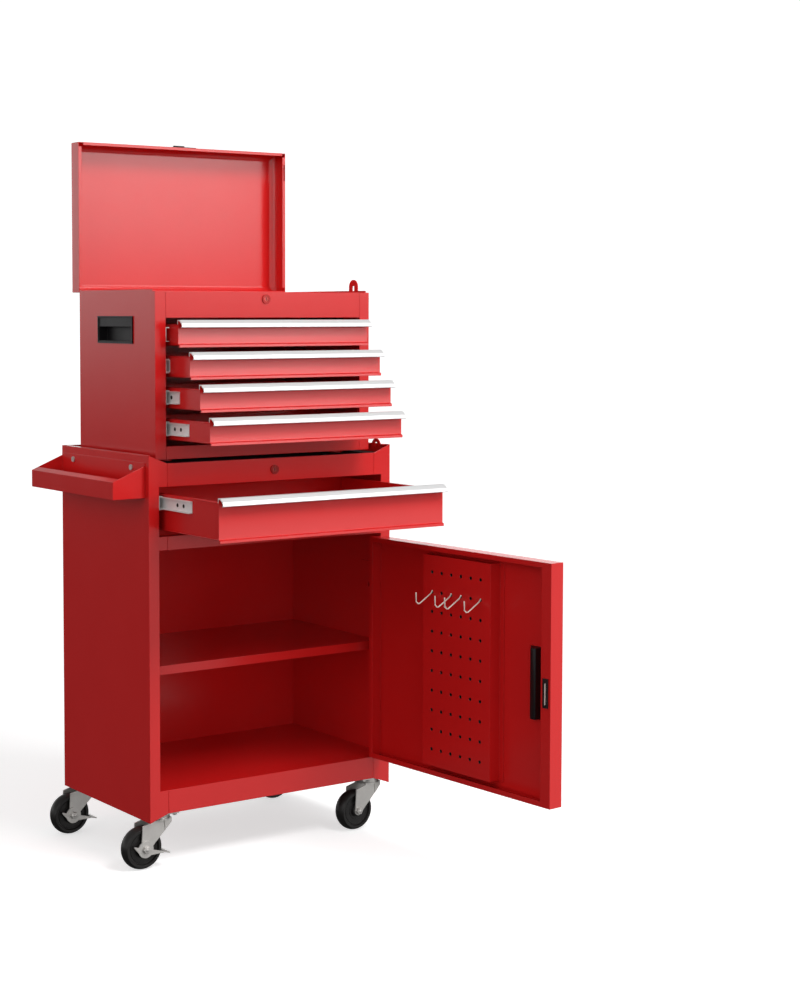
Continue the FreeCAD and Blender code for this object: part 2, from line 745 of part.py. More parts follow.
def side_cup(side):
    """A recessed grip: a shallow cup with a hooded upper half inside a raised frame."""
    wall = cup_rim / 2
    fit = 0.2
    rim = block(mirrored(side, chest_half, chest_half + cup_proud),
                (cup_front - cup_rim, cup_front + cup_long + cup_rim), (cup_low - cup_rim, cup_low + cup_high + cup_rim))
    dish = block(mirrored(side, chest_half + 0.8, chest_half + cup_proud + 1), (cup_front, cup_front + cup_long),
                 (cup_low, cup_low + cup_high))
    cup = block(mirrored(side, chest_half - cup_deep, chest_half), (cup_front + fit, cup_front + cup_long - fit),
                (cup_low + fit, cup_low + cup_high - fit))
    hollow = block(mirrored(side, chest_half - cup_deep + wall, chest_half - 2),
                   (cup_front + wall, cup_front + cup_long - wall), (cup_low + wall, cup_low + cup_high - wall))
    mouth = block(mirrored(side, chest_half - 3, chest_half + 4), (cup_front + wall, cup_front + cup_long - wall),
                  (cup_low + wall, cup_low + cup_high - cup_hood))
    return cut(join([rim, cup]), [hollow, mouth, dish])


node("chest_side_handles", group([side_cup(-1), side_cup(1)]))


def knuckles(first, from_y, to_y, from_z, to_z, shape):
    """Tubes around the lid axis with a strip each, at every second place along the hinge."""
    count = 12
    tubes = []
    for i in range(first, count, 2):
        start = (i - count / 2) * knuckle_pitch + 0.2
        length = knuckle_pitch - 0.4
        tubes.append(rod("x", (start, lid_axis_y, lid_axis_z), knuckle_r, length))
        tubes.append(block((start, start + length), (from_y, to_y), (from_z, to_z)))
    bore = rod("x", (-chest_half, lid_axis_y, lid_axis_z), hinge_pin_r + pin_play, chest_w)
    return cut(join([shape] + tubes), [bore])


back_sheet = block((-chest_in, chest_in), (chest_pan_back, chest_rear), (chest_low + chest_sheet, chest_top))
node("chest_back", knuckles(0, chest_pan_back, chest_rear, chest_top, lid_axis_z, back_sheet))

chest_front_half = chest_open_half - seam_gap
feet = []
for x in (-chest_half + 45, chest_half - 45):
    for y in (chest_front + 45, chest_rear - 45):
        feet.append(rod("z", (x, y, chest_low - foot_high), 12, foot_high))
node("chest_floor", join([
    block((-chest_in, chest_in), (chest_frame_back, chest_rear), (chest_low, chest_low + chest_sheet)),
    block((-chest_front_half, chest_front_half), (chest_front, chest_frame_back), (chest_low, footer_top)),
    block((-chest_in, chest_in), (chest_frame_back, chest_frame_back + 8),
          (footer_top - chest_sheet, footer_top))] + feet))

chest_lock_z = chest_top - chest_lock_drop
header = join([
    block((-chest_front_half, chest_front_half), (chest_front, chest_frame_back), (header_low, chest_top)),
    block((-chest_in, chest_in), (chest_frame_back, chest_front + rim_setback),
          (chest_top - chest_sheet, chest_top)),
    block((-chest_in, chest_in), (chest_frame_back, chest_frame_back + 16),
          (header_low, header_low + chest_sheet))])
node("chest_header", cut(header, [rod("y", (0, chest_front - 1, chest_lock_z), barrel_r + barrel_play, 3)]))

partition_low = header_low + chest_sheet
node("chest_partition", cut(
    block((-chest_in, chest_in), (chest_frame_back, chest_pan_back), (partition_low, partition_low + chest_sheet)),
    [block((chest_in - 3, chest_in + 1), (chest_rod_front - 1, chest_rod_front + rod_wide + 1),
           (partition_low - 1, partition_low + 2 * chest_sheet))]))

node("chest_slide_channels", group([
    slide_outer(side, chest_in, chest_open_half - slide_web_gap, chest_frame_back, chest_d - 31, middle,
                narrow_slide_high)
    for middle in narrow_mids for side in (-1, 1)]))

lock("chest", chest_front, chest_sheet, chest_lock_z)
lock_rod("chest_lock_rod", chest_in, chest_rod_front, chest_low + 26, rim_top + 21, rim_top)
node("lid_hinge_pin", rod("x", (-6 * knuckle_pitch, lid_axis_y, lid_axis_z), hinge_pin_r, 12 * knuckle_pitch))

# Lid, drawn shut and then swung open

lid_back = lid_axis_y + 3.9
lid_front = lid_back - lid_length
lid_low = lid_axis_z
lid_top = lid_low + lid_deep


def swing(item, centre, axis, degrees):
    item.Placement = FreeCAD.Placement(V(), FreeCAD.Rotation(axis, degrees), centre) * item.Placement


def lid_shell():
    """A pan with rolled edges: a rounded block less a smaller rounded block, plus lips and hinge leaf."""
    outer = prism("z", [(-chest_half, lid_front), (chest_half, lid_front), (chest_half, lid_back),
                        (-chest_half, lid_back)], lid_low, lid_top)
    inner = prism("z", [(-chest_in, lid_front + chest_sheet), (chest_in, lid_front + chest_sheet),
                        (chest_in, lid_back - chest_sheet), (-chest_in, lid_back - chest_sheet)],
                  lid_low - 1, lid_top - chest_sheet)

    def top_edge(level):
        return lambda edge: abs(edge.BoundBox.ZMin - level) < 0.01 and edge.BoundBox.ZLength < 0.01

    soften(outer, lid_bend, top_edge(lid_top.value))
    soften(inner, lid_bend - chest_sheet, top_edge((lid_top - chest_sheet).value))
    pan = cut(outer, [inner])
    lip_top = lid_low + chest_sheet
    lips = [block(mirrored(side, chest_in - lid_lip, chest_in), (lid_front + 8, lid_back - 12), (lid_low, lip_top))
            for side in (-1, 1)]
    drop = lid_low - lid_front_drop
    lips.append(block((-chest_in + 8, chest_in - 8), (lid_front, lid_front + chest_sheet), (drop, lid_low)))
    lips.append(block((-chest_in + 8, chest_in - 8), (lid_front, lid_front + lid_lip), (drop, drop + chest_sheet)))
    room = block((chest_in - rod_thick - 1, chest_in), (chest_rod_front - 2, chest_rod_front + rod_wide + 2),
                 (lid_low - 1, lip_top + 1))
    return knuckles(1, lid_axis_y, lid_back - chest_sheet, lid_axis_z + knuckle_r - chest_sheet,
                    lid_axis_z + knuckle_r, cut(join([pan] + lips), [room]))


shell = node("lid_shell", lid_shell())
catch_plate = node("lid_catch", join([
    block((-24.5, 24.5), (lid_front - 1.5, lid_front), (lid_low + 2, lid_low + 14)),
    block((-24.5, -1), (lid_front - 3.5, lid_front), (lid_low + 2, lid_low + 5))]))

# Door, drawn shut and then swung open

pull_x = (-door_half + pull_inset, -door_half + pull_inset + pull_wide)
pull_z = (door_low + pull_up, door_low + pull_up + pull_long)


def door_shell():
    skin_back = cab_front + cab_sheet
    rim = cab_front + door_deep
    parts = [block((-door_half, door_half), (cab_front, skin_back), (door_low, door_high))]
    for side, lip in ((-1, door_wide_lip), (1, door_lip)):
        parts.append(block(mirrored(side, door_half - cab_sheet, door_half), (skin_back, rim), (door_low, door_high)))
        parts.append(block(mirrored(side, door_half - lip, door_half), (rim - cab_sheet, rim), (door_low, door_high)))
    for low, high, lip in ((door_low, door_low + cab_sheet, (door_low, door_low + door_lip)),
                           (door_high - cab_sheet, door_high, (door_high - door_lip, door_high))):
        parts.append(block((-door_half, door_half), (skin_back, rim), (low, high)))
        parts.append(block((-door_half, door_half), (rim - cab_sheet, rim), lip))
    holes = [block(pull_x, (cab_front - 1, cab_front + 3), pull_z)]
    for low, owner in butt_places():
        if owner == "door":
            parts.append(knuckle_at(low, butt_r))
            holes.append(knuckle_at(low - 1, butt_pin_r + pin_play, butt_long + 2))
        else:
            holes.append(knuckle_at(low - butt_play, butt_r + butt_play, butt_long + butt_play * 2))
    return cut(join(parts), holes)


def door_pull():
    """The same hooded cup, standing upright near the door's free edge."""
    wall = cup_rim / 2
    fit = 0.2
    hood = 10
    left, right = pull_x
    low, high = pull_z
    rim = block((left - cup_rim, right + cup_rim), (cab_front - cup_proud, cab_front), (low - cup_rim, high + cup_rim))
    dish = block((left, right), (cab_front - cup_proud - 1, cab_front - 0.8), (low, high))
    cup = block((left + fit, right - fit), (cab_front, cab_front + pull_deep), (low + fit, high - fit))
    hollow = block((left + wall, right - wall), (cab_front + 2, cab_front + pull_deep - wall),
                   (low + wall, high - wall))
    mouth = block((left + wall, right - hood), (cab_front - 4, cab_front + 3), (low + wall, high - wall))
    return cut(join([rim, cup]), [hollow, mouth, dish])


def board():
    """A hat section with ten rows of six holes."""
    face_front = cab_front + board_deep
    inner = cab_front + cab_sheet
    section = prism("z", [(-board_half - board_flange, inner), (-board_half + cab_sheet, inner),
                          (-board_half + cab_sheet, face_front - cab_sheet),
                          (board_half - cab_sheet, face_front - cab_sheet), (board_half - cab_sheet, inner),
                          (board_half + board_flange, inner), (board_half + board_flange, inner + cab_sheet),
                          (board_half, inner + cab_sheet), (board_half, face_front), (-board_half, face_front),
                          (-board_half, inner + cab_sheet), (-board_half - board_flange, inner + cab_sheet)],
                    board_low, board_high)
    document.recompute()
    drill_row = Part.Compound([
        Part.makeCylinder(hole_r.value, 4, V(hole_x(column).value, (face_front - 3).value, hole_z(line).value),
                          V(0, 1, 0)) for column in range(6) for line in range(10)])
    drills = document.addObject("Part::Feature", fresh("drills"))
    drills.Shape = drill_row
    return cut(section, [drills])


def hole_x(column):
    return hole_pitch * (2.5 - column)


def hole_z(line):
    return (board_low + board_high) / 2 + hole_rise * (4.5 - line)


def hooks():
    """Bent wires in the second row: a hidden leg, a sloping shank, a round bottom and an upright tip."""
    wires = []
    line_z = hole_z(1).value
    skin = cab_front.value
    behind = skin + board_deep.value - cab_sheet.value - hook_r.value
    for column in (0, 2, 3, 5):
        x = hole_x(column).value
        shape = [(behind, line_z + 11), (behind, line_z), (skin + 32, line_z), (skin + 48, line_z - 30.5),
                 (skin + 70.5, line_z - 30.5), (skin + 72.5, line_z - 12), (skin + 64.5, line_z + 2)]
        wires.append(wire_piece([V(x, y, z) for y, z in shape], hook_r.value, [2.6, 4, 7, 6, 6]))
    return Part.Compound(wires)


door_parts = [
    node("door_shell", door_shell()),
    node("door_board", board()),
    node("door_pull", door_pull()),
    node("door_catch", join([
        block((-door_half + 5, -door_half + 16), (cab_front + door_deep, cab_front + door_deep + catch_deep - 0.8),
              (catch_low, catch_high)),
        block((-door_half + 8, -door_half + 13), (cab_front + door_deep, cab_front + door_deep + catch_deep),
              (catch_low + 4, catch_high - 6))])),
    made("door_hooks", hooks())]

node("door_hinge_pins", group([
    knuckle_at(start, butt_pin_r, butt_long * 3)
    for start in (door_low + butt_inset, door_high - butt_inset - butt_long * 3)]))

# Side tray

def tray():
    """An open tray with sloping ends and a lip that is folded in along the ends' slope."""
    wall_x = -cab_half - tray_out
    plate_x = -cab_half - cab_sheet
    lip_rise = tray_lip * (tray_end_high - tray_wall) / tray_out
    parts = [
        block((plate_x, -cab_half), tray_y, (tray_low, tray_low + tray_plate_high)),
        block((wall_x, -cab_half), tray_y, (tray_low, tray_low + cab_sheet)),
        block((wall_x, wall_x + cab_sheet), tray_y, (tray_low, tray_low + tray_wall)),
        prism("y", [(wall_x, tray_low + tray_wall), (wall_x + tray_lip, tray_low + tray_wall + lip_rise),
                    (wall_x + tray_lip, tray_low + tray_wall + lip_rise - cab_sheet),
                    (wall_x, tray_low + tray_wall - cab_sheet)], *tray_y)]
    slope = [(plate_x, tray_low), (plate_x, tray_low + tray_end_high), (wall_x, tray_low + tray_wall),
             (wall_x, tray_low)]
    parts.append(prism("y", slope, tray_y[0], tray_y[0] + cab_sheet))
    parts.append(prism("y", slope, tray_y[1] - cab_sheet, tray_y[1]))
    holes = [rod("z", (-cab_half - tray_out / 2 - 2, tray_y[0] + 41 + 46 * i, tray_low - 1), tray_hole_r, 4)
             for i in range(6)]
    holes += [rod("x", (plate_x - 1, y, screw_z), screw_r + pin_play * 2, 3) for y in screw_ys]
    return cut(join(parts), holes)


node("side_tray", tray())
screws = []
for y in screw_ys:
    head = rod("x", (-cab_half - cab_sheet - 2.6, y, screw_z), screw_r * 2, 2.6)
    shank = rod("x", (-cab_half - cab_sheet, y, screw_z), screw_r, 9)
    cross = [block((-cab_half - cab_sheet - 3, -cab_half - cab_sheet - 1.4), (y - 2.6, y + 2.6),
                   (screw_z - 0.5, screw_z + 0.5)),
             block((-cab_half - cab_sheet - 3, -cab_half - cab_sheet - 1.4), (y - 0.5, y + 0.5),
                   (screw_z - 2.6, screw_z + 2.6))]
    screws.append(cut(join([head, shank]), cross))
node("tray_screws", group(screws))

# Casters

plate_low = pan_low - plate_t
race_low = plate_low - race_h
crown_high = race_low - 0.3
crown_low = crown_high - fork_t
leg_in = wheel_w / 2 + 1.2
leg_out = leg_in + fork_t
places = [("front_left", -1, -1), ("front_right", 1, -1), ("back_left", -1, 1), ("back_right", 1, 1)]
tops = []
for name, sx, sy in places:
    x, y = swivel_x * sx, swivel_y * sy
    tops.append(join([
        block((x - plate_l / 2, x + plate_l / 2), (y - plate_w / 2, y + plate_w / 2), (plate_low, pan_low)),
        rod("z", (x, y, race_low), race_r, race_h),
        rod("z", (x, y, crown_low - 4), king_r, crown_high - crown_low + 5),
        rod("z", (x, y, crown_low - 4), king_r + 3, 3.7)]))
node("caster_plates", group(tops))


def fork(braked):
    """Drawn with its swivel axis on Z and its wheel trailing towards -X."""
    head_in = leg_out + 2.4 if braked else leg_out
    crown = cut(join([block((-18, 18), (-leg_out, leg_out), (crown_low, crown_high)),
                      rod("z", (0, 0, crown_low), race_r + 1, fork_t)]),
                [rod("z", (0, 0, crown_low - 1), king_r + pin_play, fork_t + 2)])
    outline = [(-18, crown_high), (18, crown_high), (18, crown_high - 8), (-trail + boss_r * 0.94, wheel_r - 3),
               (-trail - boss_r * 0.94, wheel_r - 3), (-trail - 5, side_low - 6), (-18, side_low - 0.8)]
    legs = []
    for side in (-1, 1):
        legs.append(prism("y", outline, *mirrored(side, leg_in, leg_out)))
        legs.append(rod("y", (-trail, mirrored(side, leg_in, leg_out)[0], wheel_r), boss_r, fork_t))
    frame = cut(join([crown] + legs), [rod("y", (-trail, -leg_out - 1, wheel_r), axle_r, leg_out * 2 + 2)])
    axle = join([rod("y", (-trail, -head_in, wheel_r), axle_r, head_in * 2),
                 rod("y", (-trail, -head_in - 2.5, wheel_r), axle_r + 2, 2.5),
                 rod("y", (-trail, head_in, wheel_r), axle_r + 2, 2.5)])
    return group([frame, axle])


def wheel():
    """A tread with rounded shoulders, a recessed web and a bored hub, turned about the axle."""
    half = wheel_w.value / 2
    radius = wheel_r.value
    bore = (axle_r + pin_play).value
    hub = 11
    points = [(bore, -half - 0.8), (hub, -half - 0.8), (hub + 1, -half + 4), (radius - 10, -half + 4),
              (radius - 8.5, -half), (radius - 4, -half)]
    right = [(r, -h) for r, h in reversed(points)]
    edges = []
    for a, b in zip(points, points[1:]):
        edges.append(Part.LineSegment(V(a[0], 0, a[1]), V(b[0], 0, b[1])).toShape())
    edges.append(Part.Arc(V(radius - 4, 0, -half), V(radius, 0, 0), V(radius - 4, 0, half)).toShape())
    for a, b in zip(right, right[1:]):
        edges.append(Part.LineSegment(V(a[0], 0, a[1]), V(b[0], 0, b[1])).toShape())
    edges.append(Part.LineSegment(V(bore, 0, half + 0.8), V(bore, 0, -half - 0.8)).toShape())
    face = Part.Face(Part.Wire(edges))
    solid = face.revolve(V(), V(0, 0, 1), 360)
    solid.rotate(V(), V(1, 0, 0), 90)
    solid.translate(V(-trail.value, 0, radius))
    return solid


def pedal():
    """A pressed plate on each side of the fork, joined in front of the tread by a foot plate."""
    inner = leg_out + 0.2
    arms = []
    for side in (-1, 1):
        span = mirrored(side, inner, inner + 2)
        arms.append(prism("y", [(-trail - 24, wheel_r + 1.5), (-trail - 24, wheel_r - 0.5),
                                (-trail - 13, wheel_r - 8), (-trail + 13, wheel_r - 8),
                                (-trail + 40, wheel_r - 0.5), (-trail + 50, wheel_r - 0.5),
                                (-trail + 50, wheel_r + 1.5)], *span))
        arms.append(rod("y", (-trail, span[0], wheel_r), 15, 2))
    arms.append(block((-trail + 40, -trail + 50), (-inner - 2, inner + 2), (wheel_r - 0.5, wheel_r + 1.5)))
    return cut(join(arms), [rod("y", (-trail, -inner - 4, wheel_r), axle_r + pin_play, inner * 2 + 8)])


def stand_at(item, x, y, turn):
    document.recompute()
    swing(item, V(), V(0, 0, 1), turn)
    item.Placement.Base = item.Placement.Base + V(x.value, y.value, 0)


casters = []
for name, sx, sy in places:
    x, y = swivel_x * sx, swivel_y * sy
    turn = front_right_turn.value if name == "front_right" else 0
    braked = sx < 0
    pieces = [node("caster_fork_" + name, fork(braked)), made("caster_wheel_" + name, wheel())]
    if braked:
        lever = node("caster_pedal_" + name, pedal())
        document.recompute()
        swing(lever, V(-trail.value, 0, wheel_r.value), V(0, 1, 0), pedal_tilt.value)
        pieces.append(lever)
    casters.append((pieces, x, y, turn))
for pieces, x, y, turn in casters:
    for piece in pieces:
        stand_at(piece, x, y, turn)

document.recompute()
for item in (shell, catch_plate):
    swing(item, V(0, lid_axis_y.value, lid_axis_z.value), V(1, 0, 0), -90)
for item in door_parts:
    swing(item, V(door_axis_x.value, door_axis_y.value, 0), V(0, 0, 1), door_open.value)
document.recompute()

# Checks, then the files

for item in document.Objects:
    if "Invalid" in item.State or "Error" in item.State:
        raise RuntimeError("%s (%s) failed: %s" % (item.Name, item.Label, item.State))
os.makedirs("parts", exist_ok=True)
for item in nodes:
    if item.Shape.isNull() or not item.Shape.isValid():
        raise RuntimeError("%s has no valid shape" % item.Label)
for item in nodes:
    item.Shape.exportStep("parts/%s.step" % item.Label)
    box = item.Shape.BoundBox
    print("%-26s solids %2d  x %7.1f %7.1f  y %7.1f %7.1f  z %7.1f %7.1f" % (
        item.Label, len(item.Shape.Solids), box.XMin, box.XMax, box.YMin, box.YMax, box.ZMin, box.ZMax))
print(len(nodes), "nodes")
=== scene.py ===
import json
import math

import bmesh
import bpy
from mathutils import Matrix, Vector


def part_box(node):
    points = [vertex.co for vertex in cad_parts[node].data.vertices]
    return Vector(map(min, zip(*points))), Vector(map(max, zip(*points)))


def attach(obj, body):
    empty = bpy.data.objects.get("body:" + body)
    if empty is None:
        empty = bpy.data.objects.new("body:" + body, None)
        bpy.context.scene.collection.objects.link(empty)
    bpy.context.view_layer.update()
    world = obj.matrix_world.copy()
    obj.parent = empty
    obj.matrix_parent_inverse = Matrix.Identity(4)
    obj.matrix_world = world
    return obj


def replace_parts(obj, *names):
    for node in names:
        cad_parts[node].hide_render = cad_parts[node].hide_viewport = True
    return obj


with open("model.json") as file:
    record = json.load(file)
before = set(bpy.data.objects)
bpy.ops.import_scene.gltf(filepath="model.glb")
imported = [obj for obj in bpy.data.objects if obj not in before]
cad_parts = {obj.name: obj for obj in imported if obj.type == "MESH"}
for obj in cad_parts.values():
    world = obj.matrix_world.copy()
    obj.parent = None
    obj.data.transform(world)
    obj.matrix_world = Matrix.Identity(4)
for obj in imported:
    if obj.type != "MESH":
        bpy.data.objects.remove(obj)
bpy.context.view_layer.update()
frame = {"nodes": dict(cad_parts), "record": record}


class Value:
    """A shader socket that can be used in sums; each sum adds a Math node."""

    def __init__(self, finish, socket):
        self.finish = finish
        self.socket = socket

    def math(self, operation, other):
        return self.finish.node("ShaderNodeMath", {"operation": operation}, {0: self, 1: other})["Value"]

    def __add__(self, other):
        return self.math("ADD", other)

    def __sub__(self, other):
        return self.math("SUBTRACT", other)

    def __mul__(self, other):
        return self.math("MULTIPLY", other)

    def above(self, other):
        return self.math("GREATER_THAN", other)


class Outputs:
    """The outputs of one node, by name."""

    def __init__(self, finish, node):
        self.finish = finish
        self.node = node

    def __getitem__(self, name):
        return Value(self.finish, self.node.outputs[name])


class Finish:
    """A material with one Principled shader."""

    def __init__(self, name, **fixed):
        self.material = bpy.data.materials.new(name)
        self.material.use_nodes = True
        self.tree = self.material.node_tree
        self.shader = self.tree.nodes["Principled BSDF"]
        for socket, amount in fixed.items():
            self.shader.inputs[socket.replace("_", " ")].default_value = amount

    def node(self, kind, settings=None, inputs=None):
        made = self.tree.nodes.new(kind)
        for key, amount in (settings or {}).items():
            if key == "stops":
                ramp = made.color_ramp
                while len(ramp.elements) < len(amount):
                    ramp.elements.new(0.5)
                for element, (place, colour) in zip(ramp.elements, amount):
                    element.position = place
                    element.color = colour
            else:
                setattr(made, key, amount)
        for key, amount in (inputs or {}).items():
            if isinstance(amount, Value):
                self.tree.links.new(amount.socket, made.inputs[key])
            else:
                made.inputs[key].default_value = amount
        return Outputs(self, made)

    def feed(self, socket, amount):
        self.tree.links.new(amount.socket, self.shader.inputs[socket])

    def place(self):
        return self.node("ShaderNodeTexCoord")["Object"]

    def stretched(self, scale):
        return self.node("ShaderNodeMapping", None, {"Vector": self.place(), "Scale": scale})["Vector"]

    def noise(self, scale, detail=3.0, rough=0.5, where=None):
        where = where or self.place()
        return self.node("ShaderNodeTexNoise", None,
                         {"Vector": where, "Scale": scale, "Detail": detail, "Roughness": rough})["Fac"]

    def between(self, share, low, high):
        """A number that runs from low to high with share."""
        return share * (high - low) + low

    def mix(self, share, first, second):
        made = self.node("ShaderNodeMix", {"data_type": "RGBA"}, {"Factor": share})
        node = made.node
        for index, colour in ((6, first), (7, second)):
            if isinstance(colour, Value):
                self.tree.links.new(colour.socket, node.inputs[index])
            else:
                node.inputs[index].default_value = colour
        return Value(self, node.outputs[2])

    def bump(self, height, strength, distance, under=None):
        inputs = {"Height": height, "Strength": strength, "Distance": distance}
        if under:
            inputs["Normal"] = under
        return self.node("ShaderNodeBump", None, inputs)["Normal"]

    def soft_edge(self, radius):
        return self.node("ShaderNodeBevel", {"samples": 4}, {"Radius": radius})["Normal"]

    def bowed(self, skin, edges):
        """Leans the front's skin a little back towards its lower edge, as a pressed panel bows."""
        low, high = edges
        height = self.node("ShaderNodeSeparateXYZ", None, {0: self.place()})["Z"]
        share = self.node("ShaderNodeMapRange", None, {"Value": height, "From Min": low, "From Max": high,
                                                       "To Min": 1.0, "To Max": 0.0})["Result"]
        plain = self.node("ShaderNodeSeparateXYZ", None,
                          {0: self.node("ShaderNodeNewGeometry")["Normal"]})["Y"]
        lean = (share * 0.17 - 0.03) * (plain * -1.0).above(0.9)
        up = self.node("ShaderNodeCombineXYZ", None, {"Z": lean})["Vector"]
        tilted = self.node("ShaderNodeVectorMath", {"operation": "ADD"}, {0: skin, 1: up})["Vector"]
        return self.node("ShaderNodeVectorMath", {"operation": "NORMALIZE"}, {0: tilted})["Vector"]


def powder_coat(name, colour, dark, rough=0.2, bow=None):
    """Gloss powder coat with faint orange peel; bow gives a pressed front its low and high edge, in metres."""
    f = Finish(name)
    cloud = f.noise(6.0, 4.0, 0.6)
    f.feed("Base Color", f.mix(f.between(cloud, 0.0, 0.9), colour, dark))
    f.feed("Roughness", f.between(f.noise(38.0, 5.0, 0.7), rough - 0.04, rough + 0.06))
    peel = f.noise(520.0, 2.0, 0.4)
    skin = f.bump(peel, 0.12, 0.0006, f.soft_edge(0.0011))
    f.feed("Normal", f.bowed(skin, bow) if bow else skin)
    return f.material


def metal(name, colour, dark, rough, grain=(60.0, 60.0, 60.0), depth=0.15, metallic=1.0):
    """Plated or rolled metal with a mottled sheen."""
    f = Finish(name, Metallic=metallic)
    blotch = f.noise(55.0, 5.0, 0.65)
    f.feed("Base Color", f.mix(blotch, colour, dark))
    line = f.noise(1.0, 4.0, 0.6, f.stretched(grain))
    f.feed("Roughness", f.between(line * 0.6 + blotch * 0.4, rough - 0.08, rough + 0.16))
    f.feed("Normal", f.bump(line, depth, 0.0004, f.soft_edge(0.0005)))
    return f.material


def moulded(name, colour, dark, rough):
    """Moulded plastic with a fine grain."""
    f = Finish(name, Specular_IOR_Level=0.35)
    f.feed("Base Color", f.mix(f.noise(22.0, 4.0, 0.6), colour, dark))
    speck = f.noise(900.0, 2.0, 0.5)
    f.feed("Roughness", f.between(speck * 0.5 + f.noise(45.0) * 0.5, rough - 0.08, rough + 0.12))
    f.feed("Normal", f.bump(speck, 0.25, 0.0005, f.soft_edge(0.0008)))
    return f.material


def ribbed_mat(name):
    """Black rubber liner."""
    f = Finish(name)
    f.feed("Base Color", f.mix(f.noise(30.0, 4.0, 0.6), (0.028, 0.028, 0.03, 1), (0.012, 0.012, 0.013, 1)))
    f.feed("Roughness", f.between(f.noise(90.0, 4.0, 0.6), 0.55, 0.8))
    f.feed("Normal", f.bump(f.noise(1400.0, 2.0, 0.5), 0.3, 0.0003))
    return f.material


RED = (0.70, 0.014, 0.014, 1)
RED_DEEP = (0.64, 0.010, 0.010, 1)

finishes = {
    "red_paint": powder_coat("red_powder_coat", RED, RED_DEEP),
    "mat": ribbed_mat("ribbed_liner"),
    "zinc": metal("bright_zinc", (0.66, 0.64, 0.61, 1), (0.50, 0.48, 0.46, 1), 0.34, metallic=0.6),
    # Bright metal for the hooks and the catch's pole plate; its warm cream tint is painted reflection of the red door
    # around them.
    "wire": metal("bright_wire_painted_warm_reflection", (1.0, 0.93, 0.85, 1), (0.92, 0.86, 0.78, 1), 0.25, metallic=0.3),
    "slide_steel": metal("slide_steel", (0.97, 0.95, 0.94, 1), (0.72, 0.70, 0.69, 1), 0.36, (40.0, 400.0, 400.0),
                         metallic=0.2),
    "strip": metal("satin_aluminium", (0.88, 0.88, 0.88, 1), (0.83, 0.83, 0.83, 1), 0.36, (2.0, 300.0, 300.0), 0.04,
                   metallic=0.5),
    # Chrome locks: the bezel's red tint and the plug's pink and dark patches are painted reflection of the red paint
    # around them.
    "lock_metal": metal("lock_painted_red_reflection", (0.42, 0.03, 0.028, 1), (0.30, 0.02, 0.018, 1), 0.22, metallic=0.8),
    "lock_core_painted_reflection": metal("lock_core_painted_reflection", (0.62, 0.16, 0.14, 1), (0.22, 0.03, 0.03, 1), 0.20),
    # Near-black: the lid catch's dark steel, and painted shade for the board's hole tubes, the slide holes and the
    # pad's slot.
    "dark_steel_and_painted_shade": metal("dark_steel_and_painted_shade", (0.03, 0.018, 0.016, 1), (0.012, 0.008, 0.008, 1), 0.6, metallic=0.0),
    "black_plastic": moulded("grained_black_plastic", (0.009, 0.007, 0.008, 1), (0.004, 0.003, 0.004, 1), 0.42),
    "wheel_black": moulded("moulded_wheel_black", (0.018, 0.016, 0.015, 1), (0.009, 0.008, 0.008, 1), 0.36),
}

slot_of = {entry["node"]: entry["material_slot"] for entry in frame["record"]["subparts"]}
finer = {"cabinet_lock_plug": "lock_core_painted_reflection", "chest_lock_plug": "lock_core_painted_reflection", "lid_catch": "dark_steel_and_painted_shade"}
for drawer in ("wide_drawer", "drawer_1", "drawer_2", "drawer_3", "drawer_4"):
    low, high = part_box(drawer + "_box")
    finishes[drawer] = powder_coat(drawer + "_paint", RED, RED_DEEP, bow=(low[2] + 0.006, high[2]))
    finer[drawer + "_box"] = drawer
for node, shape in frame["nodes"].items():
    if node.endswith("_slides") or node.endswith("_slide_channels"):
        finer[node] = "slide_steel"
    shape.data.materials.clear()
    shape.data.materials.append(finishes[finer.get(node, slot_of[node])])


def finish_piece(name, work, finish, body, sharp=35.0):
    """Turn worked mesh into a piece that rides on a body."""
    bmesh.ops.recalc_face_normals(work, faces=work.faces)
    mesh = bpy.data.meshes.new(name)
    work.to_mesh(mesh)
    work.free()
    for face in mesh.polygons:
        face.use_smooth = True
    mesh.set_sharp_from_angle(angle=math.radians(sharp))
    mesh.materials.append(finishes[finish])
    piece = bpy.data.objects.new(name, mesh)
    bpy.context.scene.collection.objects.link(piece)
    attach(piece, body)
    return piece


def turn_form(work, profile, place, axis, steps=20):
    """Turn a profile of (radius, height) pairs about an axis; a zero radius closes the end."""
    stand = Vector(axis).to_track_quat("Z", "Y").to_matrix()
    rings = []
    for radius, height in profile:
        if radius == 0.0:
            rings.append([work.verts.new(Vector(place) + stand @ Vector((0.0, 0.0, height)))])
            continue
        ring = []
        for i in range(steps):
            turn = 2.0 * math.pi * i / steps
            spot = Vector((radius * math.cos(turn), radius * math.sin(turn), height))
            ring.append(work.verts.new(Vector(place) + stand @ spot))
        rings.append(ring)
    for low, high in zip(rings, rings[1:]):
        for i in range(steps):
            j = (i + 1) % steps
            if len(low) == 1:
                work.faces.new((low[0], high[i], high[j]))
            elif len(high) == 1:
                work.faces.new((low[i], low[j], high[0]))
            else:
                work.faces.new((low[i], low[j], high[j], high[i]))


def extrude_form(work, outline, start, end, turn=None):
    """A closed outline of (x, z) pairs run from one y to another; turn maps points to their place."""
    turn = turn or (lambda point: point)
    near = [work.verts.new(turn(Vector((x, start, z)))) for x, z in outline]
    far = [work.verts.new(turn(Vector((x, end, z)))) for x, z in outline]
    count = len(outline)
    work.faces.new(near)
    work.faces.new(far)
    for i in range(count):
        j = (i + 1) % count
        work.faces.new((near[i], near[j], far[j], far[i]))


MM = 0.001

